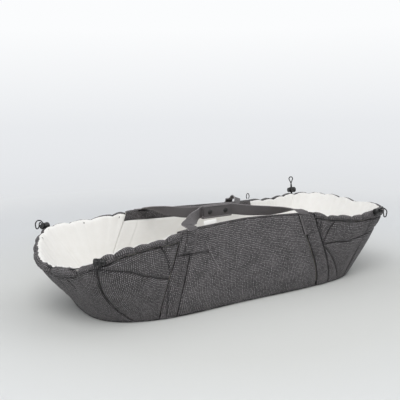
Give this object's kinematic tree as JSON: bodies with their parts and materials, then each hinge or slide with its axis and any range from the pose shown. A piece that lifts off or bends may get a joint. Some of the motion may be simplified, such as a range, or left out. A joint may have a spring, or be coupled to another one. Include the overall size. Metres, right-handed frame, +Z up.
{
  "type": "baby sleep carrier",
  "caption": "Soft boat-shaped carrycot of dark cloth with a pale lining, gathered ends with cord locks, a mattress and two webbing handles joined by a snap wrap.",
  "frame": {"origin": "middle of the flat underside, on the surface that the carrier stands on", "axes": "+X toward the foot end, +Y toward the far side, +Z up"},
  "size_m": [0.8244, 0.3521, 0.2035],
  "materials": {
    "cloth": "matte",
    "band": "matte",
    "lining": "matte",
    "foam": "matte",
    "webbing": "matte",
    "board": "matte",
    "plastic": "gloss",
    "cord": "matte",
    "metal": "satin",
    "label": "matte"
  },
  "bodies": {
    "shell": {"bottom_panel": "cloth", "near_side_panel": "cloth", "far_side_panel": "cloth", "foot_near_gusset": "cloth", "foot_far_gusset": "cloth", "head_far_gusset": "cloth", "head_near_gusset": "cloth", "foot_end_cap": "cloth", "head_end_cap": "cloth", "foot_casing": "cloth", "head_casing": "cloth", "foot_near_band": "band", "foot_far_band": "band", "head_far_band": "band", "head_near_band": "band", "near_facing": "band", "far_facing": "band", "lining_floor": "lining", "lining_near": "lining", "lining_far": "lining", "lining_head": "lining", "lining_foot": "lining", "foam_near": "foam", "foam_far": "foam", "foam_head": "foam", "foam_foot": "foam", "near_head_patch": "webbing", "near_foot_patch": "webbing", "far_head_patch": "webbing", "far_foot_patch": "webbing", "base_board": "board", "foot_drawcord": "cord", "head_drawcord": "cord", "cord_end_loop": "cord", "care_label": "label"},
    "mattress": {"mattress": "lining"},
    "near_handle": {"near_handle": "webbing", "grip_wrap": "webbing", "head_snap_socket": "metal", "foot_snap_socket": "metal"},
    "grip_flap": {"grip_flap": "webbing", "head_snap_stud": "plastic", "foot_snap_stud": "plastic"},
    "far_handle": {"far_handle": "webbing"},
    "foot_near_lock": {"foot_near_cord_lock": "plastic", "foot_near_lock_spring": "metal"},
    "foot_near_button": {"foot_near_lock_button": "plastic"},
    "foot_far_lock": {"foot_far_cord_lock": "plastic", "foot_far_lock_spring": "metal"},
    "foot_far_button": {"foot_far_lock_button": "plastic"},
    "head_far_lock": {"head_far_cord_lock": "plastic", "head_far_lock_spring": "metal"},
    "head_far_button": {"head_far_lock_button": "plastic"},
    "head_near_lock": {"head_near_cord_lock": "plastic", "head_near_lock_spring": "metal"},
    "head_near_button": {"head_near_lock_button": "plastic"}
  },
  "joints": [
    {"name": "mattress_lift", "type": "slide", "parent": "shell", "child": "mattress", "axis": [0, 0, 1], "range_m": [0, 0.08]},
    {"name": "near_handle_swing", "type": "hinge", "parent": "shell", "child": "near_handle", "pos_m": [0, -0.1179, 0.17237], "axis": [1, 0, 0], "range_deg": [0, 95]},
    {"name": "far_handle_swing", "type": "hinge", "parent": "shell", "child": "far_handle", "pos_m": [0, 0.11026, 0.1722], "axis": [-1, 0, 0], "range_deg": [0, 95]},
    {"name": "grip_flap_open", "type": "hinge", "parent": "near_handle", "child": "grip_flap", "pos_m": [-0.012, -0.0181, 0.1605], "axis": [1, 0, 0], "range_deg": [0, 150]},
    {"name": "foot_near_lock_slide", "type": "slide", "parent": "shell", "child": "foot_near_lock", "axis": [0.1476, -0.8534, 0.5], "range_m": [0, 0.003]},
    {"name": "foot_near_button_press", "type": "slide", "parent": "foot_near_lock", "child": "foot_near_button", "axis": [-0.9854, -0.1704, 0], "range_m": [0, 0.003], "stiffness_N_per_m": 300, "springref_m": -0.004, "deforming": ["foot_near_lock_spring"]},
    {"name": "foot_far_lock_slide", "type": "slide", "parent": "shell", "child": "foot_far_lock", "axis": [0.0237, 0.1371, 0.9903], "range_m": [0, 0.003]},
    {"name": "foot_far_button_press", "type": "slide", "parent": "foot_far_lock", "child": "foot_far_button", "axis": [0.9854, -0.1704, 0], "range_m": [0, 0.003], "stiffness_N_per_m": 300, "springref_m": -0.004, "deforming": ["foot_far_lock_spring"]},
    {"name": "head_far_lock_slide", "type": "slide", "parent": "shell", "child": "head_far_lock", "axis": [-0.4107, 0.6466, 0.6428], "range_m": [0, 0.003]},
    {"name": "head_far_button_press", "type": "slide", "parent": "head_far_lock", "child": "head_far_button", "axis": [0.8441, 0.5362, 0], "range_m": [0, 0.003], "stiffness_N_per_m": 300, "springref_m": -0.004, "deforming": ["head_far_lock_spring"]},
    {"name": "head_near_lock_slide", "type": "slide", "parent": "shell", "child": "head_near_lock", "axis": [-0.4643, -0.731, 0.5], "range_m": [0, 0.003]},
    {"name": "head_near_button_press", "type": "slide", "parent": "head_near_lock", "child": "head_near_button", "axis": [-0.8441, 0.5362, 0], "range_m": [0, 0.003], "stiffness_N_per_m": 300, "springref_m": -0.004, "deforming": ["head_near_lock_spring"]}
  ]
}
